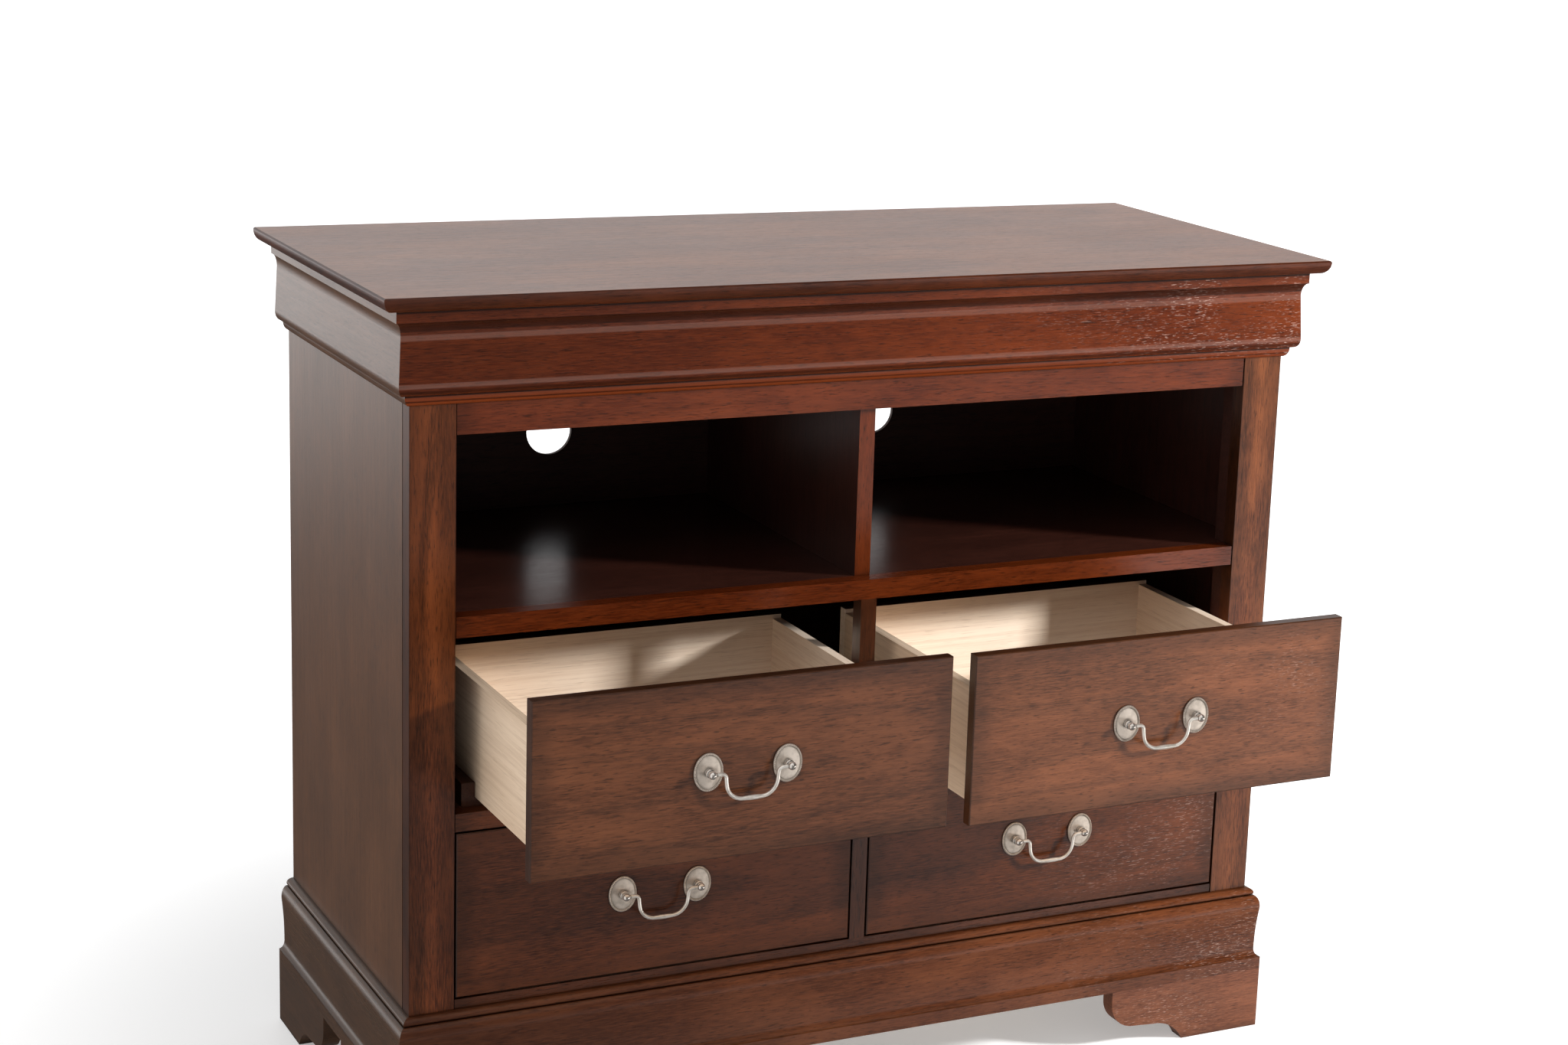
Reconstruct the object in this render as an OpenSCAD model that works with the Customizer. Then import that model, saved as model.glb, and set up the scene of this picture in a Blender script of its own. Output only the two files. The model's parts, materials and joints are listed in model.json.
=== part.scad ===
// Low media chest: moulded top and crown, two open bays, four drawers on a bracket-foot plinth.
// Millimetres, +Z up, X across the front, the front faces -Y.
// The origin is on the floor under the middle of the whole outline, with the two upper drawers
// standing open as they are at rest.

/* [Overall] */
// Width across the top board
top_w = 1080; // [1000:10:1200]
// Depth of the top board
top_d = 470; // [460:5:520]
// Thickness of the top board
top_t = 15; // [12:0.5:22]
// How far the top board stands past the back panel
top_back_overhang = 8.5; // [0:0.5:15]

/* [Heights, from the floor up] */
// Height of the bracket feet
foot_h = 71; // [65:1:90]
// Height of the plinth moulding
plinth_h = 98; // [98:1:120]
// Bottom rail that shows above the plinth
bottom_rail_h = 10; // [5:0.5:30]
// Opening of the lower drawers
lower_open_h = 180.5; // [160:0.5:220]
// Rail between the two rows of drawers
mid_rail_h = 19; // [16:0.5:30]
// Opening of the upper drawers
upper_open_h = 184; // [160:0.5:220]
// Rail along the front of the shelf
shelf_rail_h = 21.5; // [18:0.5:30]
// Clear height of the open bays
bay_h = 185; // [150:1:240]
// Top rail that shows below the crown
top_rail_h = 31.5; // [20:0.5:50]
// Height of the crown moulding
crown_h = 97; // [95:0.5:120]

/* [Face frame and boards] */
// From the top board's edge to the face of the stiles, at the front and at both sides
frame_inset = 35.5; // [35:0.5:45]
// Width of each corner stile
stile_w = 47.5; // [35:0.5:60]
// Thickness of the stiles
stile_t = 20; // [18:0.5:25]
// How far the rails lie behind the face of the stiles
rail_recess = 1; // [0.5:0.1:3]
// Width of the stile between the drawers
centre_stile_w = 18; // [14:0.5:30]
// Thickness of the side panels and the shelf
board_t = 15; // [12:0.5:18]
// Thickness of the divider between the bays
divider_t = 18; // [12:0.5:25]
// Thickness of the ceiling panel above the bays
ceiling_t = 12; // [6:0.5:18]
// Depth of the cleats behind the corner stiles
cleat_t = 18; // [12:0.5:25]
// Width of the shadow groove between a stile and its side panel
groove_w = 1.8; // [1:0.1:3]
// Depth of that groove
groove_d = 4; // [2:0.5:6]

/* [Back panel] */
// Thickness of the back panel
back_t = 5; // [3:0.5:8]
// Radius of the two cable holes
cable_r = 27; // [20:0.5:35]
// Distance of each cable hole from the centre line
cable_x = 206; // [150:1:260]
// Height of the cable holes above the floor
cable_z = 670; // [660:1:700]

/* [Drawers] */
// Thickness of a drawer front
front_t = 13; // [12:0.5:22]
// Gap around a closed drawer front
drawer_gap = 2.2; // [1.5:0.1:3]
// Eased edge around a drawer front
front_ease = 0.9; // [0.5:0.1:2]
// From the edge of the front to the outside of the drawer box, at both sides
box_inset = 26.5; // [22:0.5:32]
// Height of the drawer sides
side_h = 121.5; // [80:0.5:130]
// Extra height of the drawer back
back_rise = 4.5; // [0:0.5:10]
// From the bottom of the opening to the bottom of the drawer sides
box_lift = 8.5; // [7:0.5:12]
// Thickness of the drawer sides
side_t = 10; // [9:0.5:15]
// Thickness of the drawer back
drawer_back_t = 12; // [9:0.5:15]
// Thickness of the drawer bottom
bottom_t = 4; // [3:0.5:6]
// Length of a drawer, front included
drawer_len = 367; // [300:1:370]
// How far the upper left drawer stands open at rest
open_left = 214.7; // [0:0.1:260]
// How far the upper right drawer stands open at rest
open_right = 221.4; // [0:0.1:260]

/* [Pulls] */
// Distance between the two posts of a pull
pull_cc = 84; // [78:1:120]
// From the drawer front to the middle of a post's ball
pull_stand = 11.5; // [11:0.5:16]
// From the posts down to the middle of the bail's bar
bail_drop = 27; // [26:0.5:32]
// Radius of the bail's rod
bail_r = 1.9; // [1.7:0.1:2.2]
// Radius of the thick bar at the bottom of the bail
bar_r = 2.5; // [2.2:0.1:3]
// Radius of the ball on a post
ball_r = 4.2; // [4:0.1:5]
// Radius of the bail's pins
pin_r = 1.5; // [1.3:0.05:1.6]
// Width of a rosette
rosette_w = 31; // [26:0.5:36]
// Height of a rosette
rosette_h = 39; // [32:0.5:44]

/* [Feet] */
// Thickness of the foot boards
foot_t = 20; // [16:0.5:24]
// Length of a front foot along the front and along the side
front_foot_len = 200; // [190:1:220]
// Length of a back foot along the side
back_foot_len = 177; // [165:1:190]

/* [Hidden] */

// Colours of the stained veneer, the stained boards inside, the plain boards and the metal
cherry = [0.36, 0.17, 0.12];
cherry_dark = [0.24, 0.13, 0.10];
inside_dark = [0.12, 0.07, 0.06];
plain_wood = [0.80, 0.70, 0.58];
nickel = [0.78, 0.76, 0.72];

eps = 0.01;
arc_steps = 12;
round_fn = 48;
rod_fn = 24;
oval_steps = 32;

// Levels above the floor
plinth_z = foot_h;
sill_lower = plinth_z + plinth_h + bottom_rail_h;
mid_rail_z = sill_lower + lower_open_h;
sill_upper = mid_rail_z + mid_rail_h;
shelf_rail_z = sill_upper + upper_open_h;
shelf_z = shelf_rail_z + shelf_rail_h;
bay_top_z = shelf_z + bay_h;
crown_z = bay_top_z + top_rail_h;
top_z = crown_z + crown_h;

// Half widths, from the centre line
half_w = top_w / 2;
half_frame = half_w - frame_inset;
half_open = half_frame - stile_w;
half_inside = half_frame - board_t;

// Depths, from the front edge of the top board
frame_y = frame_inset;
rail_y = frame_y + rail_recess;
inside_y = frame_y + stile_t;
carcass_back_y = top_d - top_back_overhang;
back_panel_y = carcass_back_y - back_t;
back_rebate = 8;

// The whole outline runs from the foremost ball of a pull to the back edge of the top board
pull_reach = pull_stand + ball_r;
reach = max(open_left, open_right) + pull_reach - frame_inset;
front_edge_y = (reach - top_d) / 2;

// Crown outline: distance in from the top board's edge, and height above the crown's bottom
crown_fillet_in = 17;
crown_fillet_z = crown_h - 12.5;
cavetto_in = 23;
cavetto_z = crown_fillet_z - 14;
frieze_in = 20.5;
frieze_z = 21.5;
frieze_foot_in = 26;
frieze_foot_z = 11.5;
crown_bead_in = 29;
crown_bead_z = 10;

// Plinth outline, in the same way
band_in = 18.5;
band_z = 14.5;
plinth_cove_in = 24.5;
plinth_cove_z = 24;
ovolo_in = 21.5;
ovolo_z = plinth_h - 22;
ovolo_top_in = 28;
ovolo_top_z = plinth_h - 8.5;
quirk = 1;
bead_in = 27.5;
bead_z = plinth_h - 5.3;
face_scoop = 0.8;

// Edge of the top board
top_bevel = 1.5;
top_ovolo = 10;

// Feet
foot_pad_front = 103;
foot_pad_back = 80;
foot_cove_w = 38;
foot_cove_h = 24;
foot_lobe_r = 30;
foot_lobe_drop = 2;
foot_ease = 0.7;
glue_block = 40;
glue_block_lift = 3;
glue_line = 0.1;
back_board_t = 12;
back_board_len = 120;

// Runners: the drawer sides slide on battens, between ribs that guide them
runner_t = 15;
batten_w = 16;
batten_clear = 0.4;
rib_h = 25;
rib_t = 14;
rib_clear = 1;
back_rail_t = 18;
back_rail_h = 19;
runner_back_y = back_panel_y - back_rail_t;

// Drawer boards: the sides hold the front by a sliding dovetail
box_in_x = centre_stile_w / 2 + drawer_gap + box_inset;
box_out_x = half_open - drawer_gap - box_inset;
dovetail_d = 5;
dovetail_neck = 6;
dovetail_tip = 8.5;
bottom_lift = 8;
bottom_groove = 4;

// Pull details
pull_x = (centre_stile_w / 2 + half_open) / 2;
pin_clear = 0.06;
pin_gap = 0.3;
socket_depth = 3.2;
stub_start = ball_r + 0.5;
stub_end = 9.5;
stub_r = bail_r + 0.2;
bar_taper_share = 0.6;
collar_over = 0.12;
collar_half = 0.6;
joint_gap = 0.05;
elbow_r = 4.8;
leg_turn = 84;
leg_len = 7.4;
pin_x = ball_r - socket_depth + pin_gap;
leg_x = stub_end + elbow_r * sin(leg_turn);
leg_z = -elbow_r * (1 - cos(leg_turn));
sweep_x = leg_x + leg_len * cos(leg_turn);
sweep_z = leg_z - leg_len * sin(leg_turn);
sweep_r = (bail_drop + sweep_z) / (1 - cos(leg_turn));
bar_x = sweep_x + sweep_r * sin(leg_turn);
rosette_t = 1.8;
rim_t = 0.9;
rim_w = 2.6;
shank_r = 2;
shank_clear = 0.2;
nut_r = 4.5;
nut_t = 3.2;
nut_clear = 0.05;
shank_end = 1;
neck_r = 2.4;
neck_in_ball = 1.5;

// Outline of a turned post from the rosette out, as [radius, height]: foot, waist and collar
post_outline = [[0, 0], [4, 0], [3.4, 1.2], [3, 1.6], [2.6, 3.2], [4.4, 3.8], [4.6, 4.6],
    [4.2, 5.3], [2.8, 6]];

// A drawer is [side of the centre line, level of its opening's bottom, opening height, travel]
upper_left = [-1, sill_upper, upper_open_h, open_left];
upper_right = [1, sill_upper, upper_open_h, open_right];
lower_left = [-1, sill_lower, lower_open_h, 0];
lower_right = [1, sill_lower, lower_open_h, 0];
function drawer_side(d) = d[0];
function drawer_sill(d) = d[1];
function drawer_open_h(d) = d[2];
function drawer_travel(d) = d[3];

// Points along an elliptical arc about c, with radii r, from angle a0 to a1
function arc(c, r, a0, a1) = [for (i = [0:arc_steps])
    let (a = a0 + (a1 - a0) * i / arc_steps) [c[0] + r[0] * cos(a), c[1] + r[1] * sin(a)]];

function crown_profile() = concat(
    [[frame_inset, 0]],
    arc([frame_inset, crown_bead_z], [frame_inset - crown_bead_in, crown_bead_z], 270, 180),
    [[crown_bead_in, frieze_foot_z]],
    arc([frieze_foot_in, frieze_z], [frieze_foot_in - frieze_in, frieze_z - frieze_foot_z], 270, 180),
    arc([crown_fillet_in, cavetto_z],
        [cavetto_in - crown_fillet_in, crown_fillet_z - cavetto_z], 0, 90),
    [[crown_fillet_in, crown_h], [frame_inset, crown_h]]);

// The long face of the plinth leans out towards its top and is scooped a little
function plinth_face() = [for (i = [1:arc_steps - 1])
    let (s = i / arc_steps)
    [plinth_cove_in + (ovolo_in - plinth_cove_in) * s + face_scoop * sin(180 * s),
     plinth_cove_z + (ovolo_z - plinth_cove_z) * s]];

function plinth_profile() = concat(
    [[frame_inset, 0], [band_in, 0]],
    arc([band_in, plinth_cove_z], [plinth_cove_in - band_in, plinth_cove_z - band_z], 270, 360),
    plinth_face(),
    arc([ovolo_top_in, ovolo_z], [ovolo_top_in - ovolo_in, ovolo_top_z - ovolo_z], 180, 90),
    [[ovolo_top_in + 2 * quirk, ovolo_top_z], [ovolo_top_in + 2 * quirk, ovolo_top_z + quirk]],
    arc([frame_inset, bead_z], [frame_inset - bead_in, plinth_h - bead_z], 205, 90));

// Edge of the top board, from its lower face up: an ovolo under a fine bevel
function top_edge() = concat(
    arc([top_ovolo, top_t - top_bevel], [top_ovolo, top_t - top_bevel], 270, 180),
    [[top_bevel, top_t]]);

// Bracket foot seen square on: pad, cove, lobe; measured from the outer corner
function foot_outline(pad, len) = let (
    cove_r = (foot_cove_w * foot_cove_w + foot_cove_h * foot_cove_h) / (2 * foot_cove_h),
    cove_x = pad + foot_cove_w,
    lobe_z = foot_cove_h + foot_lobe_drop + foot_lobe_r)
    concat(
        [[0, 0]],
        arc([cove_x, foot_cove_h - cove_r], [cove_r, cove_r],
            180 - asin((cove_r - foot_cove_h) / cove_r), 90),
        arc([len - foot_lobe_r, lobe_z], [foot_lobe_r, foot_lobe_r], 270, 360),
        [[len, foot_h], [0, foot_h]]);

// Whole cabinet: y is measured from the front edge of the top board
module in_cabinet() translate([0, front_edge_y, 0]) children();

module block(lo, hi) translate(lo) cube(hi - lo);

// A flat outline of (y, z) drawn out along X, and one of (x, z) drawn out along Y
module along_x(x0, x1) translate([x0, 0, 0]) rotate([90, 0, 90]) linear_extrude(x1 - x0) children();
module along_y(y0, y1) translate([0, y1, 0]) rotate([90, 0, 0]) linear_extrude(y1 - y0) children();

module both_sides() {
    children();
    mirror([1, 0, 0]) children();
}

// Moulding across the front, mitred at both ends
module moulding_front(profile, z, h) {
    in_cabinet() translate([0, 0, z]) intersection() {
        along_x(-half_w, half_w) polygon(profile);
        linear_extrude(h) polygon([[-half_w, 0], [half_w, 0],
            [half_frame, frame_inset], [-half_frame, frame_inset]]);
    }
}

// Moulding along one side, mitred at the front; side is -1 for left and 1 for right
module moulding_side(profile, z, h, side) {
    in_cabinet() translate([0, 0, z]) mirror([side < 0 ? 1 : 0, 0, 0]) intersection() {
        along_y(0, carcass_back_y) polygon([for (p = profile) [half_w - p[0], p[1]]]);
        linear_extrude(h) polygon([[half_w, 0], [half_w, carcass_back_y],
            [half_frame, carcass_back_y], [half_frame, frame_inset]]);
    }
}

module top_panel() {
    edge = top_edge();
    color(cherry_dark) in_cabinet() translate([0, 0, top_z]) intersection() {
        along_x(-half_w, half_w) polygon(concat(edge, [[top_d, top_t], [top_d, 0]]));
        along_y(0, top_d) polygon(concat(
            [for (p = edge) [p[0] - half_w, p[1]]],
            [for (i = [len(edge) - 1:-1:0]) [half_w - edge[i][0], edge[i][1]]]));
    }
}

module side_panel(side) {
    color(cherry_dark) in_cabinet() mirror([side < 0 ? 1 : 0, 0, 0]) difference() {
        block([half_inside, inside_y, plinth_z], [half_frame, carcass_back_y, top_z]);
        block([half_frame - groove_d, inside_y - eps, plinth_z - eps],
            [half_frame + eps, inside_y + groove_w, top_z + eps]);
        block([half_inside - eps, back_panel_y, plinth_z - eps],
            [half_inside + back_rebate, carcass_back_y + eps, top_z + eps]);
    }
}

module stile(side) {
    color(cherry) in_cabinet() mirror([side < 0 ? 1 : 0, 0, 0])
        block([half_open, frame_y, plinth_z], [half_frame, inside_y, top_z]);
}

// A rail between the corner stiles, with its front ends eased so that the joints show
module rail(z0, z1) {
    ease = rail_recess;
    color(cherry) in_cabinet() translate([0, 0, z0]) linear_extrude(z1 - z0) polygon([
        [-half_open, inside_y], [-half_open, rail_y + ease], [ease - half_open, rail_y],
        [half_open - ease, rail_y], [half_open, rail_y + ease], [half_open, inside_y]]);
}

// The two short stiles between the drawers
module centre_stiles() {
    half = centre_stile_w / 2;
    color(cherry) in_cabinet() {
        block([-half, rail_y, sill_upper], [half, inside_y, shelf_rail_z]);
        block([-half, rail_y, sill_lower], [half, inside_y, mid_rail_z]);
    }
}

// A full panel inside the carcass, notched around the corner cleats
module inner_panel(z, t) {
    in_cabinet() difference() {
        block([-half_inside, inside_y, z], [half_inside, back_panel_y, z + t]);
        both_sides() block([half_open, inside_y - eps, z - eps],
            [half_inside + eps, inside_y + cleat_t, z + t + eps]);
    }
}

module shelf_panel() color(inside_dark) inner_panel(shelf_z - board_t, board_t);

module ceiling_panel() color(inside_dark) inner_panel(bay_top_z, ceiling_t);

module upper_divider() {
    color(cherry_dark) in_cabinet()
        block([-divider_t / 2, inside_y, shelf_z], [divider_t / 2, back_panel_y, bay_top_z]);
}

module back_panel() {
    edge_x = half_inside + back_rebate;
    color(inside_dark) in_cabinet() difference() {
        block([-edge_x, back_panel_y, plinth_z], [edge_x, carcass_back_y, top_z]);
        for (side = [-1, 1]) translate([side * cable_x, back_panel_y - eps, cable_z])
            rotate([-90, 0, 0]) cylinder(r = cable_r, h = back_t + 2 * eps, $fn = round_fn);
    }
}

module corner_cleats() {
    color(inside_dark) in_cabinet() both_sides()
        block([half_open, inside_y, plinth_z], [half_inside, inside_y + cleat_t, top_z]);
}

module back_rails() {
    color(inside_dark) in_cabinet() for (sill = [sill_lower, sill_upper])
        block([-half_inside, runner_back_y, sill - back_rail_h], [half_inside, back_panel_y, sill]);
}

// A flat runner on each side wall, with a batten under the drawer side and a rib beside it
module side_runners() {
    batten_x = box_out_x - side_t - (batten_w - side_t) / 2;
    rib_x = box_out_x + rib_clear;
    color(inside_dark) in_cabinet() both_sides() for (sill = [sill_lower, sill_upper]) difference() {
        union() {
            block([batten_x, inside_y, sill - runner_t], [half_inside, runner_back_y, sill]);
            block([batten_x, inside_y, sill - eps],
                [batten_x + batten_w, runner_back_y, sill + box_lift - batten_clear]);
            block([rib_x, inside_y, sill - eps], [rib_x + rib_t, runner_back_y, sill + rib_h]);
        }
        block([half_open, inside_y - eps, sill - runner_t - eps],
            [half_inside + eps, inside_y + cleat_t, sill + eps]);
    }
}

// A runner on the centre line serves the drawers on both sides of it
module centre_runners() {
    batten_x = box_in_x - (batten_w - side_t) / 2;
    rib_x = box_in_x - rib_clear;
    batten_top = box_lift - batten_clear;
    color(inside_dark) in_cabinet() for (sill = [sill_lower, sill_upper]) {
        block([-batten_x - batten_w, inside_y, sill - runner_t],
            [batten_x + batten_w, runner_back_y, sill]);
        block([-batten_x - batten_w, inside_y, sill - eps],
            [batten_x + batten_w, runner_back_y, sill + batten_top]);
        block([-rib_x, inside_y, sill - eps], [rib_x, runner_back_y, sill + rib_h]);
    }
}

// A foot board's outline cut from a board, with its upper outer edge eased
module foot_board(pad, len) {
    difference() {
        rotate([90, 0, 0]) translate([0, 0, -foot_t]) linear_extrude(foot_t)
            polygon(foot_outline(pad, len));
        translate([-eps, 0, foot_h]) rotate([45, 0, 0])
            cube([len + 2 * eps, 2 * foot_ease, 2 * foot_ease]);
    }
}

// The right front foot: two boards mitred at the corner and a glue block behind them
module front_foot() {
    translate([half_w - band_in, band_in, 0]) mirror([1, 0, 0]) {
        intersection() {
            foot_board(foot_pad_front, front_foot_len);
            linear_extrude(foot_h) polygon([[glue_line, 0], [front_foot_len, 0],
                [front_foot_len, foot_t], [foot_t + glue_line, foot_t]]);
        }
        intersection() {
            mirror([1, -1, 0]) foot_board(foot_pad_front, front_foot_len);
            linear_extrude(foot_h) polygon([[0, 0], [0, front_foot_len],
                [foot_t, front_foot_len], [foot_t, foot_t]]);
        }
        block([foot_t + glue_line, foot_t + glue_line, glue_block_lift],
            [foot_t + glue_block, foot_t + glue_block, foot_h]);
    }
}

// The right back foot: one board along the side, a plain one across the back, a glue block
module back_foot() {
    translate([half_w - band_in, carcass_back_y, 0]) mirror([1, 0, 0]) mirror([0, 1, 0]) {
        mirror([1, -1, 0]) foot_board(foot_pad_back, back_foot_len);
        translate([foot_t, back_board_t, 0]) rotate([90, 0, 0]) linear_extrude(back_board_t)
            polygon([[glue_line, 0], [foot_pad_back - foot_t, 0],
                [back_board_len - foot_t, foot_h], [glue_line, foot_h]]);
        block([foot_t + glue_line, back_board_t + glue_line, glue_block_lift],
            [foot_t + glue_block, back_board_t + glue_block, foot_h]);
    }
}

// A drawer's own frame: x from the cabinet's centre line outwards, y from the drawer front's
// face back, z from the bottom of its opening
module in_drawer(d) {
    in_cabinet() translate([0, frame_y - drawer_travel(d), drawer_sill(d)])
        mirror([drawer_side(d) < 0 ? 1 : 0, 0, 0]) children();
}

// Dovetail along the front end of a drawer side; x0 is the side board's inner or outer face
module dovetail(x0, z0, z1) {
    mid = x0 + side_t / 2;
    translate([0, 0, z0]) linear_extrude(z1 - z0) polygon([
        [mid - dovetail_neck / 2, front_t + eps], [mid + dovetail_neck / 2, front_t + eps],
        [mid + dovetail_tip / 2, front_t - dovetail_d],
        [mid - dovetail_tip / 2, front_t - dovetail_d]]);
}

module drawer_front(d) {
    x0 = centre_stile_w / 2 + drawer_gap;
    x1 = half_open - drawer_gap;
    z0 = drawer_gap;
    z1 = drawer_open_h(d) - drawer_gap;
    e = front_ease;
    color(cherry) in_drawer(d) difference() {
        intersection() {
            translate([0, 0, z0]) linear_extrude(z1 - z0) polygon([
                [x0 + e, 0], [x1 - e, 0], [x1, e], [x1, front_t], [x0, front_t], [x0, e]]);
            along_x(x0, x1) polygon([
                [0, z0 + e], [e, z0], [front_t, z0], [front_t, z1], [e, z1], [0, z1 - e]]);
        }
        for (x = [box_in_x, box_out_x - side_t])
            dovetail(x, box_lift, box_lift + side_h);
        for (x = post_xs()) translate([x, -eps, pull_z(d)]) rotate([-90, 0, 0])
            cylinder(r = shank_r + shank_clear, h = front_t + 2 * eps, $fn = round_fn);
    }
}

// A drawer side with its dovetail and the groove that holds the bottom
module drawer_side_board(d, outer) {
    x0 = outer ? box_out_x - side_t : box_in_x;
    groove_x = outer ? x0 - eps : x0 + side_t - bottom_groove;
    groove_z = box_lift + bottom_lift;
    color(plain_wood) in_drawer(d) difference() {
        union() {
            block([x0, front_t, box_lift],
                [x0 + side_t, drawer_len - drawer_back_t, box_lift + side_h]);
            dovetail(x0, box_lift, box_lift + side_h);
        }
        block([groove_x, front_t, groove_z],
            [groove_x + bottom_groove + eps, drawer_len, groove_z + bottom_t]);
    }
}

// Left and right as seen from the front: on the left of the centre line the outer board is left
module drawer_side_left(d) drawer_side_board(d, drawer_side(d) < 0);
module drawer_side_right(d) drawer_side_board(d, drawer_side(d) > 0);

module drawer_back(d) {
    groove_z = box_lift + bottom_lift;
    y0 = drawer_len - drawer_back_t;
    color(plain_wood) in_drawer(d) difference() {
        block([box_in_x, y0, box_lift], [box_out_x, drawer_len, box_lift + side_h + back_rise]);
        block([box_in_x + side_t - bottom_groove, y0 - eps, groove_z],
            [box_out_x - side_t + bottom_groove, y0 + bottom_groove, groove_z + bottom_t]);
    }
}

module drawer_bottom(d) {
    groove_z = box_lift + bottom_lift;
    color(plain_wood) in_drawer(d)
        block([box_in_x + side_t - bottom_groove, front_t, groove_z],
            [box_out_x - side_t + bottom_groove, drawer_len - drawer_back_t + bottom_groove,
             groove_z + bottom_t]);
}

// Places of a pull's two posts across a drawer, and its height in the opening
function post_xs() = [pull_x - pull_cc / 2, pull_x + pull_cc / 2];
function pull_z(d) = drawer_open_h(d) / 2;

module ellipse_plate(w, h, t) {
    rotate([90, 0, 0]) linear_extrude(t)
        polygon([for (i = [0:oval_steps - 1])
            let (a = 360 * i / oval_steps) [w / 2 * cos(a), h / 2 * sin(a)]]);
}

// Oval plate with a raised rim, bored for the post
module drawer_rosettes(d) {
    color(nickel) in_drawer(d) for (x = post_xs()) translate([x, 0, pull_z(d)]) difference() {
        ellipse_plate(rosette_w, rosette_h, rosette_t + rim_t);
        translate([0, -rosette_t, 0])
            ellipse_plate(rosette_w - 2 * rim_w, rosette_h - 2 * rim_w, rim_t + eps);
        rotate([90, 0, 0]) translate([0, 0, -eps])
            cylinder(r = shank_r + shank_clear, h = rosette_t + 2 * eps, $fn = round_fn);
    }
}

// Turned post: shank through the front, collar, neck and a ball bored for the bail's pin.
// A round nut holds it from inside the drawer.
module drawer_posts(d) {
    neck_h = pull_stand - rosette_t - ball_r + neck_in_ball;
    shank_in = front_t + nut_t + shank_end;
    color(nickel) in_drawer(d) for (side = [-1, 1])
        translate([pull_x + side * pull_cc / 2, 0, pull_z(d)]) {
            difference() {
                rotate([90, 0, 0]) union() {
                    translate([0, 0, rosette_t]) rotate_extrude($fn = round_fn)
                        polygon(concat(post_outline, [[neck_r, neck_h], [0, neck_h]]));
                    translate([0, 0, pull_stand]) sphere(r = ball_r, $fn = round_fn);
                    translate([0, 0, -shank_in])
                        cylinder(r = shank_r, h = shank_in + rosette_t + eps, $fn = round_fn);
                }
                translate([-side * (ball_r - socket_depth), -pull_stand, 0]) rotate([0, -side * 90, 0])
                    cylinder(r = pin_r + pin_clear, h = ball_r, $fn = round_fn);
            }
            translate([0, front_t, 0]) rotate([-90, 0, 0]) difference() {
                cylinder(r = nut_r, h = nut_t, $fn = round_fn);
                translate([0, 0, -eps])
                    cylinder(r = shank_r + nut_clear, h = nut_t + 2 * eps, $fn = round_fn);
            }
        }
}

// A turned piece along +X: outline of (radius, x) pairs
module turned_x(outline) {
    rotate([0, 90, 0]) rotate_extrude($fn = rod_fn) polygon(outline);
}

// Bend of the bail's rod in the plane x-z: centre c, from angle a0 to angle a1
module bend(c, big_r, a0, a1) {
    translate([c[0], 0, c[1]]) rotate([90, 0, 0]) rotate([0, 0, a0])
        rotate_extrude(angle = a1 - a0, $fn = round_fn)
            translate([big_r, 0]) circle(r = bail_r, $fn = rod_fn);
}

// Slim collar over the joint of two lengths of the bail, its axis turned down from +X
module collar(p, turn) {
    translate([p[0], 0, p[1]]) rotate([0, turn, 0]) turned_x([[0, -collar_half],
        [bail_r + collar_over, -collar_half], [bail_r + collar_over, collar_half],
        [0, collar_half]]);
}

// Left half of the bail without its bar, the post on the origin:
// pin and stub, elbow, leaning leg and sweep
module bail_half() {
    turned_x([[0, pin_x], [pin_r, pin_x], [pin_r, stub_start], [stub_r, stub_start],
        [bail_r, stub_end - joint_gap], [0, stub_end - joint_gap]]);
    collar([stub_end, 0], 0);
    bend([stub_end, -elbow_r], elbow_r, 90 - leg_turn, 90);
    collar([leg_x, leg_z], leg_turn);
    translate([leg_x, 0, leg_z]) rotate([0, leg_turn, 0]) turned_x([[0, joint_gap],
        [bail_r, joint_gap], [bail_r, leg_len - joint_gap], [0, leg_len - joint_gap]]);
    collar([sweep_x, sweep_z], leg_turn);
    bend([bar_x, sweep_r - bail_drop], sweep_r, 270 - leg_turn, 270);
    collar([bar_x, -bail_drop], 0);
}

module drawer_bail(d) {
    bar_end = pull_cc / 2 - bar_x - joint_gap;
    taper = bar_taper_share * bar_end;
    color(nickel) in_drawer(d) translate([pull_x, -pull_stand, pull_z(d)]) {
        both_sides() translate([-pull_cc / 2, 0, 0]) bail_half();
        translate([0, 0, -bail_drop]) turned_x([[0, -bar_end], [bail_r, -bar_end],
            [bar_r, taper - bar_end], [bar_r, bar_end - taper], [bail_r, bar_end],
            [0, bar_end]]);
    }
}

top_panel();
color(cherry) moulding_front(crown_profile(), crown_z, crown_h);  // crown_front
color(cherry_dark) moulding_side(crown_profile(), crown_z, crown_h, -1);  // crown_left
color(cherry_dark) moulding_side(crown_profile(), crown_z, crown_h, 1);  // crown_right
side_panel(-1);  // side_panel_left
side_panel(1);  // side_panel_right
stile(-1);  // stile_left
stile(1);  // stile_right
rail(bay_top_z, top_z);  // top_rail
rail(shelf_rail_z, shelf_z);  // shelf_rail
rail(mid_rail_z, sill_upper);  // mid_rail
rail(plinth_z, sill_lower);  // bottom_rail
centre_stiles();
shelf_panel();
upper_divider();
ceiling_panel();
back_panel();
color(cherry) moulding_front(plinth_profile(), plinth_z, plinth_h);  // plinth_front
color(cherry_dark) moulding_side(plinth_profile(), plinth_z, plinth_h, -1);  // plinth_left
color(cherry_dark) moulding_side(plinth_profile(), plinth_z, plinth_h, 1);  // plinth_right
color(cherry) in_cabinet() mirror([1, 0, 0]) front_foot();  // foot_front_left
color(cherry) in_cabinet() front_foot();  // foot_front_right
color(cherry_dark) in_cabinet() mirror([1, 0, 0]) back_foot();  // foot_back_left
color(cherry_dark) in_cabinet() back_foot();  // foot_back_right
corner_cleats();
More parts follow.
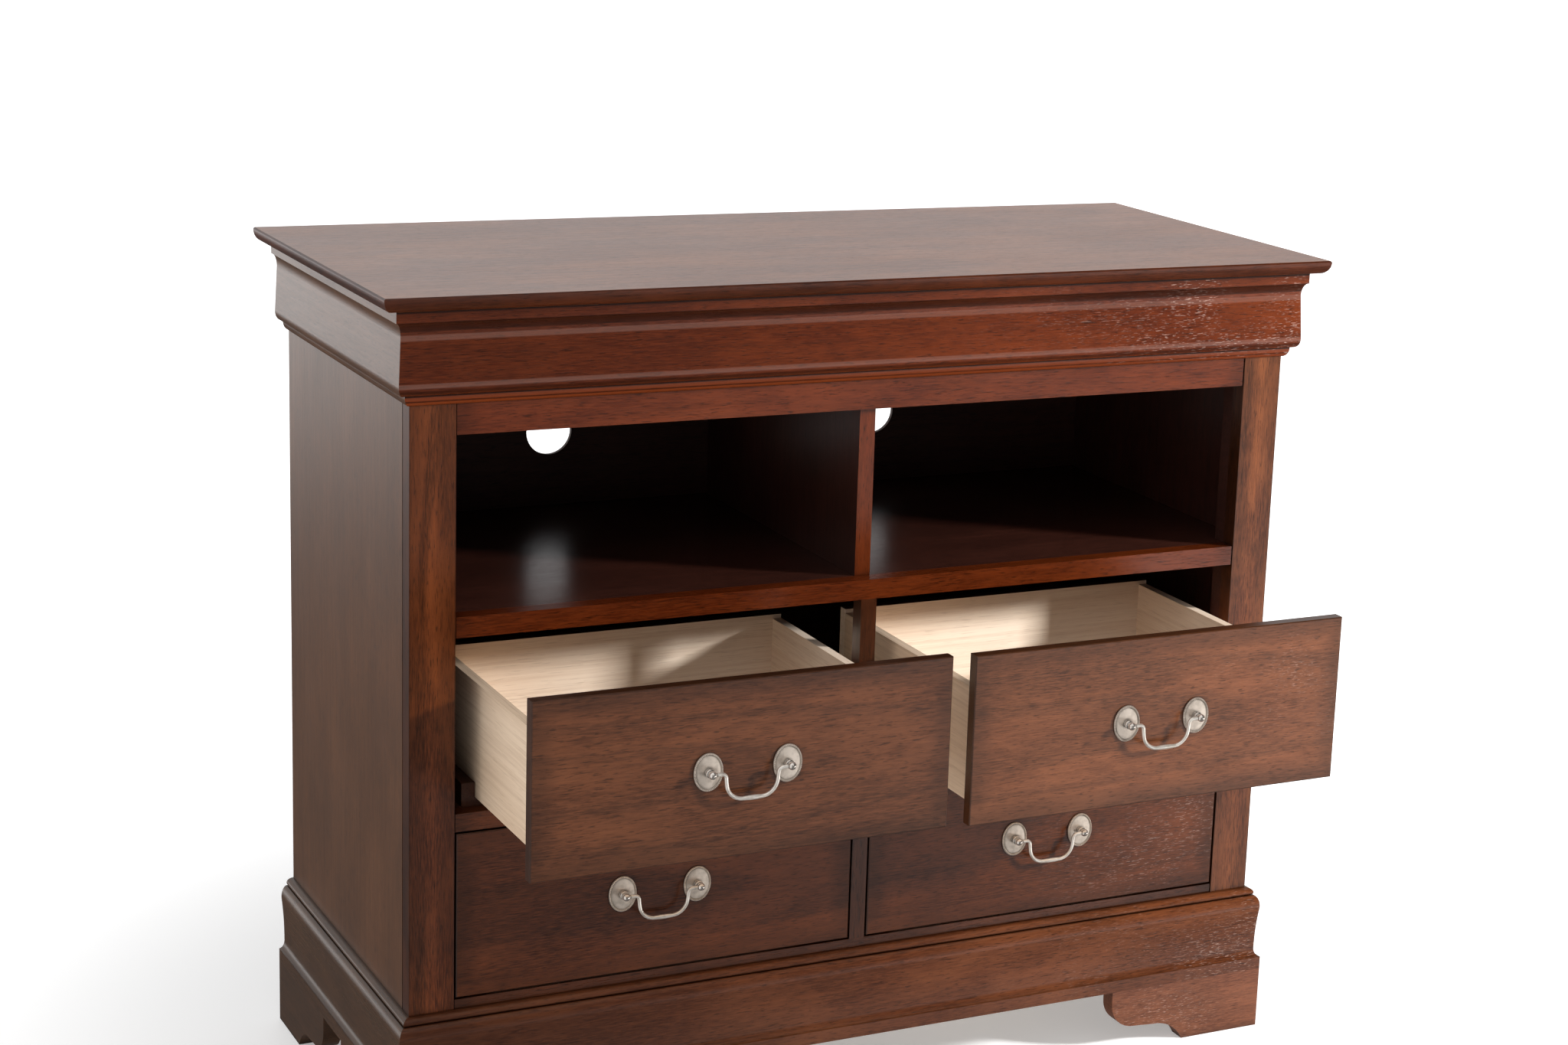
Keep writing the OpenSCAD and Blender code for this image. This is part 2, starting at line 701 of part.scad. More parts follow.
back_rails();
side_runners();
centre_runners();
drawer_front(upper_left);  // ul_front
drawer_side_left(upper_left);  // ul_side_left
drawer_side_right(upper_left);  // ul_side_right
drawer_back(upper_left);  // ul_back
drawer_bottom(upper_left);  // ul_bottom
drawer_rosettes(upper_left);  // ul_rosettes
drawer_posts(upper_left);  // ul_posts
drawer_bail(upper_left);  // ul_bail
drawer_front(upper_right);  // ur_front
drawer_side_left(upper_right);  // ur_side_left
drawer_side_right(upper_right);  // ur_side_right
drawer_back(upper_right);  // ur_back
drawer_bottom(upper_right);  // ur_bottom
drawer_rosettes(upper_right);  // ur_rosettes
drawer_posts(upper_right);  // ur_posts
drawer_bail(upper_right);  // ur_bail
drawer_front(lower_left);  // ll_front
drawer_side_left(lower_left);  // ll_side_left
drawer_side_right(lower_left);  // ll_side_right
drawer_back(lower_left);  // ll_back
drawer_bottom(lower_left);  // ll_bottom
drawer_rosettes(lower_left);  // ll_rosettes
drawer_posts(lower_left);  // ll_posts
drawer_bail(lower_left);  // ll_bail
drawer_front(lower_right);  // lr_front
drawer_side_left(lower_right);  // lr_side_left
drawer_side_right(lower_right);  // lr_side_right
drawer_back(lower_right);  // lr_back
drawer_bottom(lower_right);  // lr_bottom
drawer_rosettes(lower_right);  // lr_rosettes
drawer_posts(lower_right);  // lr_posts
drawer_bail(lower_right);  // lr_bail
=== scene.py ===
"""Looks of a low chest with two open bays and four drawers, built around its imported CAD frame.

Metres, +Z up, +X to the right across the front, and the drawers open towards -Y.
"""
import json
import math

import bpy
from mathutils import Matrix, Vector


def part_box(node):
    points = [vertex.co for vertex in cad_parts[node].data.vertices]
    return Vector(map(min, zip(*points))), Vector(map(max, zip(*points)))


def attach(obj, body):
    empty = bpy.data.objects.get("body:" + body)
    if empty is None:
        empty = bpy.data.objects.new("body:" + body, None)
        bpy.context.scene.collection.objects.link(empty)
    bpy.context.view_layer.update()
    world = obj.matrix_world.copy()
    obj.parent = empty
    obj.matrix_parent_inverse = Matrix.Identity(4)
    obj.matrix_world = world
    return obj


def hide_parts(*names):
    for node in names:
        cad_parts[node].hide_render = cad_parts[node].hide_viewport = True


MM = 0.001

# Camera: place from the top board's front edge and the centre line, its turn, and its lens
CAMERA_OFFSET = (-1.3695, -2.690, 1.3964)
CAMERA_YAW = 0.49485
CAMERA_PITCH = 0.23050
CAMERA_ROLL = -0.04407
CAMERA_LENS = 68.31
CAMERA_SENSOR = 36.0
CAMERA_SHIFT = (-0.1111, -0.0178)

# Key light: a square panel to the front right of the chest
KEY_PLACE = (2.43, -1.6, 1.41)
KEY_TARGET = (0.0, -0.1, 0.5)
KEY_SIZE = 0.3
KEY_POWER = 150.0

# Floor: how far it reaches, and its own light near the chest and away from it
FLOOR_REACH = 60.0
GLOW_FADE = (0.6, 1.4)
GLOW_NEAR = 0.30
GLOW_FAR = 0.80

# Surroundings: how bright each zone is, and between which x, y or z of a ray's direction it fades
WALL_RISE = (-0.25, -0.14)
WALL_FOOT = 0.10
WALL_GLOW = 1.75
WALL_DROP = (-0.02, 0.06)
WALL_UPPER_SHARE = 0.45
LEFT_FADE = (-0.65, -0.45)
LEFT_GLOW = 0.85
FRONT_GLOW = 0.09
LOW_RIGHT_FADE = (0.35, 0.50)
LOW_RIGHT_RISE = (-0.40, -0.33)
LOW_RIGHT_DROP = (-0.24, -0.18)
LOW_RIGHT_GLOW = 3.4
BACK_FADE = (0.1, 0.3)
CEILING_RISE = (0.40, 0.50)
CEILING_FADE = (0.28, 0.42)
CEILING_GLOW = 0.85

# Pulls: the sizes of the CAD pulls, and how finely their new shapes are cut
PULL_SPACING = 84 * MM
BAIL_DROP = 27 * MM
ROSETTE = (31 * MM, 39 * MM)
BEADS = 60
BEAD_STEPS = 6
POST_STEPS = 40
BAIL_STEPS = 24

# Crown: painted shade along its recesses and painted highlights on its beads and rolls, as
# (low, high, share, tone), the heights in mm above its bottom
CROWN_BANDS = [(-1.0, 4.0, 0.8, "light"), (4.2, 5.4, 0.5, "dark"), (5.6, 9.4, 0.8, "light"),
               (9.8, 12.0, 0.9, "dark"), (13.5, 17.0, 0.55, "dark"), (19.5, 24.0, 0.24, "highlight"),
               (66.0, 71.5, 0.24, "highlight"), (75.0, 85.0, 0.7, "dark"), (94.0, 98.0, 0.85, "dark")]
BAND_BLUR = 0.8 * MM

# Drawers: each one's short name, in its nodes, and long name, in its bodies, and their looks
DRAWERS = (("ul", "upper_left"), ("ur", "upper_right"), ("ll", "lower_left"), ("lr", "lower_right"))
FIRST_DRAWER_SEED = 40
# Painted glints on the right-hand drawer fronts: from x, to x, strength
RIGHT_FRONT_GLINTS = (0.15, 0.45, 0.24)

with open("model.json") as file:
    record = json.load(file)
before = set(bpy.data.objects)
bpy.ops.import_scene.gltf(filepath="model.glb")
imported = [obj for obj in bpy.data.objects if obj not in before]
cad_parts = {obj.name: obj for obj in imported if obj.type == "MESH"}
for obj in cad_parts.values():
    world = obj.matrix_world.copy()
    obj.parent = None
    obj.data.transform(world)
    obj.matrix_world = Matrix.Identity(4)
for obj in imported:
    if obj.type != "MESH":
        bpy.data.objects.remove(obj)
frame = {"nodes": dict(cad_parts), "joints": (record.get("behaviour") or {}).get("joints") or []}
nodes = frame["nodes"]
joints = {joint["child"]: joint for joint in frame["joints"]}
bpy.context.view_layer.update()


# ---------------------------------------------------------------- node trees

# Painted shade in recesses: rays that look for their walls, and how open a place is where the painted
# shade is full
SHADE_SAMPLES = 6
SHADE_FULL = 0.35


def srgb(red, green, blue):
    """A colour given as 0 to 255 values, as the linear colour that shaders take."""
    linear = []
    for value in (red, green, blue):
        share = value / 255
        linear.append(share / 12.92 if share <= 0.04045 else ((share + 0.055) / 1.055) ** 2.4)
    return (*linear, 1.0)


class Tree:
    """A material's or world's node tree, with a short call for each kind of node used here."""

    def __init__(self, owner):
        owner.use_nodes = True
        self.tree = owner.node_tree
        self.tree.nodes.clear()

    def add(self, kind, inputs=None, **settings):
        node = self.tree.nodes.new(kind)
        for key, value in settings.items():
            setattr(node, key, value)
        for key, value in (inputs or {}).items():
            self.feed(node.inputs[key], value)
        return node

    def feed(self, socket, value):
        if isinstance(value, bpy.types.NodeSocket):
            self.tree.links.new(value, socket)
        else:
            socket.default_value = value

    def math(self, operation, a, b=0.0, c=0.0):
        node = self.add("ShaderNodeMath", operation=operation)
        for socket, value in zip(node.inputs, (a, b, c)):
            self.feed(socket, value)
        return node.outputs[0]

    def vector(self, operation, a, b):
        node = self.add("ShaderNodeVectorMath", operation=operation)
        self.feed(node.inputs[0], a)
        self.feed(node.inputs[1], b)
        return node.outputs[0]

    def split(self, vector):
        return self.add("ShaderNodeSeparateXYZ", {"Vector": vector}).outputs

    def join(self, x, y, z):
        return self.add("ShaderNodeCombineXYZ", {"X": x, "Y": y, "Z": z}).outputs[0]

    def level(self, value, low, high, to_low=0.0, to_high=1.0, smooth=True):
        """Turns low to high into to_low to to_high, and stays level beyond them."""
        node = self.add("ShaderNodeMapRange", {
            "Value": value, "From Min": low, "From Max": high, "To Min": to_low, "To Max": to_high,
        }, interpolation_type="SMOOTHSTEP" if smooth else "LINEAR")
        return node.outputs[0]

    def noise(self, vector, scale=1.0, detail=2.0, rough=0.5, distortion=0.0):
        node = self.add("ShaderNodeTexNoise", {
            "Vector": vector, "Scale": scale, "Detail": detail, "Roughness": rough,
            "Distortion": distortion,
        })
        return node.outputs["Fac"]

    def grained(self, space, along, across, **settings):
        """Noise with its own number of cells per metre along and across the grain."""
        return self.noise(self.vector("MULTIPLY", space, (along, across, across)), **settings)

    def mix(self, share, a, b):
        node = self.add("ShaderNodeMix", data_type="RGBA")
        for index, value in ((0, share), (6, a), (7, b)):
            self.feed(node.inputs[index], value)
        return node.outputs[2]

    def ramp(self, value, stops):
        node = self.add("ShaderNodeValToRGB", {"Fac": value})
        elements = node.color_ramp.elements
        while len(elements) < len(stops):
            elements.new(1.0)
        for element, (place, colour) in zip(elements, stops):
            element.position = place
            element.color = colour
        return node.outputs["Color"]

    def bump(self, height, strength, distance, normal=None):
        inputs = {"Height": height, "Strength": strength, "Distance": distance}
        if normal is not None:
            inputs["Normal"] = normal
        return self.add("ShaderNodeBump", inputs).outputs["Normal"]

    def recess_shade(self, colour, reach, clear, amount, shade_colour):
        """Painted shade in recesses: reach is how far off walls count, and clear how open unshaded
        places are.
        """
        hidden = self.add("ShaderNodeAmbientOcclusion", {"Distance": reach}, samples=SHADE_SAMPLES)
        shade = self.level(hidden.outputs["AO"], SHADE_FULL, clear, amount, 0.0, smooth=False)
        return self.mix(shade, colour, shade_colour)

    def finish(self, **inputs):
        shader = self.add("ShaderNodeBsdfPrincipled", inputs)
        self.add("ShaderNodeOutputMaterial", {"Surface": shader.outputs[0]})


# ---------------------------------------------------------------- wood

GRAIN_AXES = {"x_on_front": "XZY", "z_on_front": "ZXY", "z_on_side": "ZYX", "x_on_top": "XYZ",
              "y_on_side": "YZX"}
SEED_SHIFT = (3.17, 1.31, 2.43)
RING_SWAY = 0.05
HEART_DEPTH = 0.02


def grain_space(tree, grain, seed):
    """A point in the row frame, and the same point in the grain's frame, shifted by seed.

    The grain's frame is (along the grain, across it, into the board).
    """
    place = tree.add("ShaderNodeTexCoord").outputs["Object"]
    parts = dict(zip("XYZ", tree.split(place)))
    turned = tree.join(*(parts[axis] for axis in GRAIN_AXES[grain]))
    return place, tree.vector("ADD", turned, tuple(seed * step for step in SEED_SHIFT))


def edge_distance(tree, place, low, high, axes):
    """Distance from a point to the nearest edge of a board, measured along the given axes."""
    parts = dict(zip("XYZ", tree.split(place)))
    distance = None
    for axis in axes:
        index = "XYZ".index(axis)
        to_low = tree.math("SUBTRACT", parts[axis], low[index])
        to_high = tree.math("SUBTRACT", high[index], parts[axis])
        nearest = tree.math("MINIMUM", to_low, to_high)
        distance = nearest if distance is None else tree.math("MINIMUM", distance, nearest)
    return distance


def growth_rings(tree, space, heart, spacing):
    """Contours of a tapering trunk cut by the board: straight lines at its sides, arches in it.

    heart is where the trunk's middle lies along and across the grain, and how fast it tapers.
    """
    start, middle, taper = heart
    along, across, _ = tree.split(space)
    slow = tree.grained(space, 2.2, 9.0, detail=2.0)
    sway = tree.math("MULTIPLY", tree.math("SUBTRACT", slow, 0.5), RING_SWAY)
    side = tree.math("ADD", tree.math("SUBTRACT", across, middle), sway)
    depth = tree.math("MULTIPLY_ADD", tree.math("SUBTRACT", along, start), taper, HEART_DEPTH)
    radius = tree.math("SQRT", tree.math("ADD", tree.math("MULTIPLY", side, side),
                                         tree.math("MULTIPLY", depth, depth)))
    turns = tree.math("FRACT", tree.math("DIVIDE", radius, spacing))
    white = (1.0, 1.0, 1.0, 1.0)
    black = (0.0, 0.0, 0.0, 1.0)
    soft = (0.3, 0.3, 0.3, 1.0)
    return tree.ramp(turns, [(0.0, black), (0.5, soft), (0.86, white), (1.0, black)])


def glinting_flecks(tree, colour, place, space, start, full, strength):
    """Painted glints in patches, as fine pale strokes: none up to x = start, and all of them from x =
    full.
    """
    glints = tree.level(tree.grained(space, 140.0, 1200.0, detail=1.0), 0.61, 0.71)
    patches = tree.level(tree.noise(space, scale=8.0, detail=2.0), 0.40, 0.64)
    region = tree.math("MULTIPLY", patches, tree.level(tree.split(place)[0], start, full))
    amount = tree.math("MULTIPLY", tree.math("MULTIPLY", glints, region), strength)
    return tree.mix(amount, colour, FLECK_GLINT)


def banded(tree, colour, place, bands, band_tones):
    """Painted shade and painted highlight lines along a moulding, each as (low, high, share, name of
    its tone).
    """
    up = tree.split(place)[2]
    for low, high, share, band_tone in bands:
        above = tree.level(up, low - BAND_BLUR, low + BAND_BLUR, 0.0, share)
        below = tree.level(up, high - BAND_BLUR, high + BAND_BLUR, 1.0, 0.0)
        colour = tree.mix(tree.math("MULTIPLY", above, below), colour, band_tones[band_tone])
    return colour


def edge_stain_and_shade(tree, colour, distance, patches, edge, dark):
    """Darker stained wood and painted shade at a board's edges, as an uneven margin and a thin line
    beside the edge.
    """
    uneven = tree.math("MULTIPLY_ADD", patches, -18 * MM, distance)
    margin = tree.level(uneven, -4 * MM, 22 * MM, edge, 0.0)
    line = tree.level(distance, 0.6 * MM, 3 * MM, 0.65, 0.0)
    return tree.mix(tree.math("MAXIMUM", margin, line), colour, dark)


def stained_wood(name, grain, seed, tones, heart=(0.0, 0.0, 0.05), spacing=16 * MM, figure=0.3,
                 blotch=0.55, flame=0.0, flecks=None, rough=0.33, coat=0.08, ior=1.38, crevice=0.7,
                 reach=8 * MM, relief=0.25, board=None, board_axes="XZ", edge=0.40, bands=(),
                 fade=None):
    """Stained and lacquered veneer: tones are its dark, middle and light colours.

    spacing and figure are the growth rings' width and strength. blotch and flame are how strongly
    dark clouds and tongues of dark and light show, the crevice setting how strongly recesses get
    painted shade, and reach is how far the recesses' walls are looked for. board is the box whose
    edges are darker by edge, partly stained darker and partly painted shade, on board_axes. The
    setting for painted shade at the left end, where light falls off, is (left x, right x, share):
    the share of dark at the left, none at the right. For the painted glints and the painted shade
    and highlight bands see the two functions above.
    """
    dark, middle, light = tones
    material = bpy.data.materials.new(name)
    tree = Tree(material)
    place, space = grain_space(tree, grain, seed)

    rings = growth_rings(tree, space, heart, spacing)
    patches = tree.grained(space, 5.0, 13.0, detail=5.0, rough=0.62)
    clouds = tree.grained(space, 2.6, 4.6, detail=4.0, rough=0.55)
    streaks = tree.grained(space, 12.0, 240.0, detail=5.0, rough=0.7)
    fibres = tree.grained(space, 55.0, 700.0, detail=4.0, rough=0.7)
    pores = tree.level(tree.grained(space, 85.0, 700.0, detail=2.0), 0.56, 0.70)

    colour = tree.mix(tree.level(patches, 0.36, 0.70), middle, light)
    if flame:
        tongues = tree.grained(space, 3.4, 24.0, detail=2.0, distortion=0.9)
        colour = tree.mix(tree.level(tongues, 0.50, 0.64, 0.0, flame), colour, light)
        colour = tree.mix(tree.level(tongues, 0.30, 0.44, flame, 0.0), colour, dark)
    colour = tree.mix(tree.math("MULTIPLY", rings, figure), colour, dark)
    colour = tree.mix(tree.level(clouds, 0.48, 0.72, 0.0, blotch), colour, dark)
    colour = tree.mix(tree.level(streaks, 0.30, 0.75, 0.0, 0.36), colour, dark)
    colour = tree.mix(tree.level(fibres, 0.34, 0.68, 0.0, 0.55), colour, light)
    colour = tree.mix(tree.math("MULTIPLY", pores, 0.62), colour, dark)
    # Painted glints, towards the right where the lamp's light falls
    if flecks is not None:
        colour = glinting_flecks(tree, colour, place, space, *flecks)
    # Painted shade: darker towards the left end, where the lamp's light falls off
    if fade is not None:
        left, right, share = fade
        colour = tree.mix(tree.level(tree.split(place)[0], left, right, share, 0.0), colour, dark)
    if bands:
        # Band tones: dark for painted shade, light and a pale pink-grey for painted highlights
        band_tones = {"dark": dark, "light": light, "highlight": BLOOM_HIGHLIGHT}
        colour = banded(tree, colour, place, bands, band_tones)
    # Darker stained wood and painted shade at the board's edges
    if board is not None:
        distance = edge_distance(tree, place, *board, board_axes)
        colour = edge_stain_and_shade(tree, colour, distance, patches, edge, dark)
    # Painted shade in recesses: darker where nearby walls hide a point
    if crevice:
        colour = tree.recess_shade(colour, reach, 0.90, crevice, (*[part * 0.35 for part in dark[:3]], 1.0))

    sheen = tree.level(clouds, 0.3, 0.7, rough - 0.01, rough + 0.02)
    roughness = tree.math("MULTIPLY_ADD", streaks, 0.10, tree.math("SUBTRACT", sheen, 0.05))
    surface = tree.math("SUBTRACT", tree.math("MULTIPLY", fibres, 0.35), pores)
    normal = tree.bump(surface, relief, 0.12 * MM)
    ripple = tree.grained(space, 9.0, 40.0, detail=1.0)
    normal = tree.bump(ripple, 0.25, 0.4 * MM, normal)
    tree.finish(**{
        "Base Color": colour, "Roughness": roughness, "IOR": ior, "Normal": normal,
        "Coat Weight": coat, "Coat Roughness": 0.22, "Coat IOR": 1.5,
    })
    return material


def pale_board(name, grain, seed, tones, cap=None):
    """Wood-grain foil of a drawer box; cap is the height above which a board's edge is stained."""
    material = bpy.data.materials.new(name)
    tree = Tree(material)
    place, space = grain_space(tree, grain, seed)
    wander = tree.grained(space, 3.0, 14.0, detail=3.0)
    lines = tree.grained(space, 4.0, 240.0, detail=4.0, rough=0.6)
    hairs = tree.grained(space, 14.0, 900.0, detail=2.0)
    dashes = tree.level(tree.grained(space, 40.0, 1000.0, detail=1.0), 0.60, 0.72)
    dark, middle, light = tones
    colour = tree.mix(tree.level(wander, 0.35, 0.68), light, middle)
    colour = tree.mix(tree.level(lines, 0.38, 0.72, 0.0, 0.48), colour, dark)
    colour = tree.mix(tree.level(hairs, 0.45, 0.80, 0.0, 0.35), colour, light)
    colour = tree.mix(tree.math("MULTIPLY", dashes, 0.22), colour, DASH)
    if cap is not None:
        up = tree.split(place)[2]
        colour = tree.mix(tree.level(up, cap - 0.4 * MM, cap - 0.1 * MM), colour, CAP_STAIN)
    normal = tree.bump(tree.math("SUBTRACT", lines, dashes), 0.15, 0.1 * MM)
    roughness = tree.level(lines, 0.3, 0.7, 0.48, 0.58)
    tree.finish(**{"Base Color": colour, "Roughness": roughness, "IOR": 1.45, "Normal": normal})
    return material


# Single colours: a painted highlight on the crown's rolls, painted glints, the foil's dashes, a
# stained board edge, and painted shade on nickel
BLOOM_HIGHLIGHT = srgb(128, 98, 88)
FLECK_GLINT = srgb(206, 178, 166)
DASH = srgb(136, 102, 72)
CAP_STAIN = srgb(60, 32, 22)
NICKEL_SHADE = srgb(70, 61, 54)

# Woods, as dark, middle and light
RED_TONES = (srgb(28, 9, 3), srgb(70, 24, 6), srgb(104, 44, 15))
BROWN_TONES = (srgb(36, 20, 10), srgb(80, 42, 20), srgb(120, 69, 39))
WARM_TONES = (srgb(32, 17, 9), srgb(68, 35, 16), srgb(104, 59, 32))
# Painted shade: a darker copy of the fronts' wood, for the lower drawers and the mid rail in the
# shade of the open upper drawers
LOW_SHADE_TONES = (srgb(26, 10, 3), srgb(62, 27, 8), srgb(98, 48, 18))
EDGE_TONES = (srgb(22, 8, 3), srgb(50, 19, 7), srgb(86, 38, 15))
# Painted shade: a near-black wood for the bottom rail, the centre stiles and the runners, which sit
# in shade
DEEP_SHADE_TONES = (srgb(22, 9, 4), srgb(50, 23, 10), srgb(74, 37, 18))
PLINTH_TONES = (srgb(30, 12, 5), srgb(70, 33, 15), srgb(108, 60, 33))
FOOT_TONES = (srgb(52, 26, 14), srgb(98, 52, 31), srgb(128, 76, 50))
SIDE_TONES = (srgb(44, 26, 14), srgb(80, 49, 27), srgb(98, 62, 37))
BASE_TONES = (srgb(32, 20, 11), srgb(66, 42, 24), srgb(84, 55, 33))
TOP_TONES = (srgb(38, 16, 5), srgb(104, 50, 17), srgb(146, 82, 36))
INNER_TONES = (srgb(32, 17, 13), srgb(54, 28, 22), srgb(74, 40, 31))
# Stiles: the right one a lighter copy as painted light where the lamp's sheen falls, the left one
# darker as painted shade
STILE_LIT_AND_SHADED_TONES = {"left": (srgb(26, 10, 3), srgb(64, 26, 8), srgb(120, 60, 25)),
               "right": (srgb(30, 12, 4), srgb(64, 27, 9), srgb(130, 72, 37))}
# The lower drawers' fronts get the darker wood as painted shade
FRONT_TONES = {"ul": WARM_TONES, "ur": BROWN_TONES, "ll": LOW_SHADE_TONES, "lr": LOW_SHADE_TONES}
# Drawer boxes' foil: a darker copy for the left sides as painted shade, a lighter copy for the other
# boards as painted light
SHADED_FOIL_TONES = (srgb(186, 157, 130), srgb(208, 181, 153), srgb(224, 200, 174))
LIT_FOIL_TONES = (srgb(214, 186, 160), srgb(234, 211, 187), srgb(246, 228, 207))


def paint(node, material):
    """Gives a CAD node one material all over."""
    slots = nodes[node].data.materials
    slots.clear()
    slots.append(material)
    for face in nodes[node].data.polygons:
        face.material_index = 0


def paint_side(node, directions, material, least=0.7):
    """Adds a material for the node's faces that look in any of the directions.

    least is the smallest dot product of a face's normal and a direction that still counts.
    """
    slots = nodes[node].data.materials
    slots.append(material)
    for face in nodes[node].data.polygons:
        if any(face.normal.dot(Vector(direction)) > least for direction in directions):
            face.material_index = len(slots) - 1


def wood(node, grain, seed, tones, **settings):
    """Gives a CAD node its own stained wood."""
    paint(node, stained_wood("wood_" + node, grain, seed, tones, **settings))


def finish_carcass():
    """Materials of everything but the drawers."""
    # The top's front edge, the crown, the plinth and the front feet get painted shade towards the
    # left end, and the last three painted glints towards the right
    wood("top_panel", "x_on_top", 1, TOP_TONES, heart=(0.2, 0.1, 0.03), rough=0.34, coat=0.25,
         ior=1.5, crevice=0.3, relief=1.0, blotch=0.12)
    front_edge = stained_wood("wood_top_edge", "x_on_front", 34, EDGE_TONES, fade=(-0.6, 0.4, 0.4))
    ends = stained_wood("wood_top_ends", "y_on_side", 35, EDGE_TONES, ior=1.5)
    paint_side("top_panel", [(0, -1, 0)], front_edge, least=0.3)
    paint_side("top_panel", [(-1, 0, 0), (1, 0, 0)], ends, least=0.3)
    crown_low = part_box("crown_front")[0].z
    bands = [(crown_low + low * MM, crown_low + high * MM, share, tone)
             for low, high, share, tone in CROWN_BANDS]
    wood("crown_front", "x_on_front", 2, RED_TONES, figure=0.15, rough=0.28, coat=0.0, ior=1.34,
         flecks=(0.05, 0.45, 0.5), bands=bands, fade=(-0.6, 0.3, 0.35), crevice=1.0, reach=14 * MM)
    wood("plinth_front", "x_on_front", 3, PLINTH_TONES, figure=0.2, flecks=(0.1, 0.5, 0.3),
         fade=(-0.6, 0.3, 0.65), crevice=1.0, reach=12 * MM)
    inner = stained_wood("wood_inside", "z_on_side", 33, INNER_TONES, coat=0.0, crevice=0)
    for side, seed in (("left", 4), ("right", 5)):
        wood("crown_" + side, "y_on_side", seed, SIDE_TONES, figure=0.15, coat=0.2, ior=1.48)
        wood("plinth_" + side, "y_on_side", seed + 2, BASE_TONES, figure=0.15, coat=0.0, ior=1.42,
             rough=0.28)
        wood("side_panel_" + side, "z_on_side", seed + 4, SIDE_TONES, figure=0.2, rough=0.30,
             coat=0.1, ior=1.45)
        inwards = (1, 0, 0) if side == "left" else (-1, 0, 0)
        paint_side("side_panel_" + side, [inwards], inner)
        wood("stile_" + side, "z_on_front", seed + 6, STILE_LIT_AND_SHADED_TONES[side], figure=0.2, flame=0.75,
             ior=1.33, board=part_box("stile_" + side), board_axes="X", edge=0.45)
        wood("foot_front_" + side, "x_on_front", seed + 8, FOOT_TONES, flecks=(0.0, 0.4, 0.3),
             fade=(-0.6, 0.3, 0.6))
        wood("foot_back_" + side, "y_on_side", seed + 10, BASE_TONES)
    # The mid rail and the bottom rail get darker woods as painted shade
    for node, seed, tones in (("top_rail", 20, RED_TONES), ("shelf_rail", 21, RED_TONES),
                              ("mid_rail", 22, LOW_SHADE_TONES), ("bottom_rail", 23, DEEP_SHADE_TONES)):
        wood(node, "x_on_front", seed, tones, figure=0.2, rough=0.28, coat=0.0, board=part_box(node),
             board_axes="X")
    wood("centre_stiles", "z_on_front", 24, DEEP_SHADE_TONES)
    wood("upper_divider", "z_on_side", 25, INNER_TONES, crevice=0)
    divider_edge = stained_wood("wood_divider_edge", "z_on_front", 25, RED_TONES)
    paint_side("upper_divider", [(0, -1, 0)], divider_edge)
    wood("shelf_panel", "x_on_top", 26, INNER_TONES, rough=0.22, crevice=0)
    for node, seed in (("ceiling_panel", 27), ("back_panel", 28), ("corner_cleats", 29),
                       ("back_rails", 30)):
        wood(node, "x_on_front", seed, INNER_TONES, rough=0.5, coat=0.0, crevice=0)
    # The runners get near-black wood as painted shade, so they sink into the dark
    for node, seed in (("side_runners", 31), ("centre_runners", 32)):
        wood(node, "y_on_side", seed, DEEP_SHADE_TONES, rough=0.6, coat=0.0, crevice=0)


def finish_drawer(drawer, seed, tones, flecks):
    """Materials of one drawer's front and box, with the front's grain arches in its middle."""
    front = drawer + "_front"
    low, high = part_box(front)
    heart_x = (low.x + high.x) / 2 + seed * SEED_SHIFT[0]
    heart_z = (low.z + high.z) / 2 + seed * SEED_SHIFT[1]
    wood(front, "x_on_front", seed, tones, heart=(heart_x, heart_z, 0.12), spacing=35 * MM,
         figure=0.5, flecks=flecks, ior=1.35, board=(low, high))
    # The box's left side gets the darker foil as painted shade, the other boards the lighter foil as
    # painted light
    for part, grain, foil in (("side_left", "y_on_side", SHADED_FOIL_TONES),
                              ("side_right", "y_on_side", LIT_FOIL_TONES),
                              ("bottom", "x_on_top", LIT_FOIL_TONES)):
        paint(f"{drawer}_{part}", pale_board(f"board_{drawer}_{part}", grain, seed, foil))
    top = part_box(drawer + "_back")[1].z
    paint(drawer + "_back",
          pale_board(f"board_{drawer}_back", "x_on_front", seed, LIT_FOIL_TONES, cap=top))


# ---------------------------------------------------------------- metal

def nickel(name, tones, rough, brushed, metallic, recess_shade):
    """Nickel plate: tones are clean and tarnished, and brushed is how strongly scratches show."""
    material = bpy.data.materials.new(name)
    tree = Tree(material)
    place = tree.add("ShaderNodeTexCoord").outputs["Object"]
    tarnish = tree.noise(place, scale=160.0, detail=3.0)
    scratches = tree.noise(tree.vector("MULTIPLY", place, (600.0, 600.0, 4200.0)), detail=2.0)
    colour = tree.mix(tree.level(tarnish, 0.35, 0.75), *tones)
    # Painted shade in the hollows round the posts and the beads
    colour = tree.recess_shade(colour, 4 * MM, 0.95, recess_shade, NICKEL_SHADE)
    roughness = tree.math("MULTIPLY_ADD", scratches, 0.12 * brushed, rough)
    normal = tree.bump(scratches, 0.12 * brushed, 0.05 * MM)
    tree.finish(**{"Base Color": colour, "Metallic": metallic, "Roughness": roughness,
                   "Normal": normal})
    return material


def mesh_object(name, vertices, faces, material):
    """A smooth mesh object of the given vertices, in metres, and faces."""
    mesh = bpy.data.meshes.new(name)
    mesh.from_pydata([tuple(v) for v in vertices], [], faces)
    mesh.validate()
    for face in mesh.polygons:
        face.use_smooth = True
    mesh.materials.append(material)
    thing = bpy.data.objects.new(name, mesh)
    bpy.context.scene.collection.objects.link(thing)
    return thing


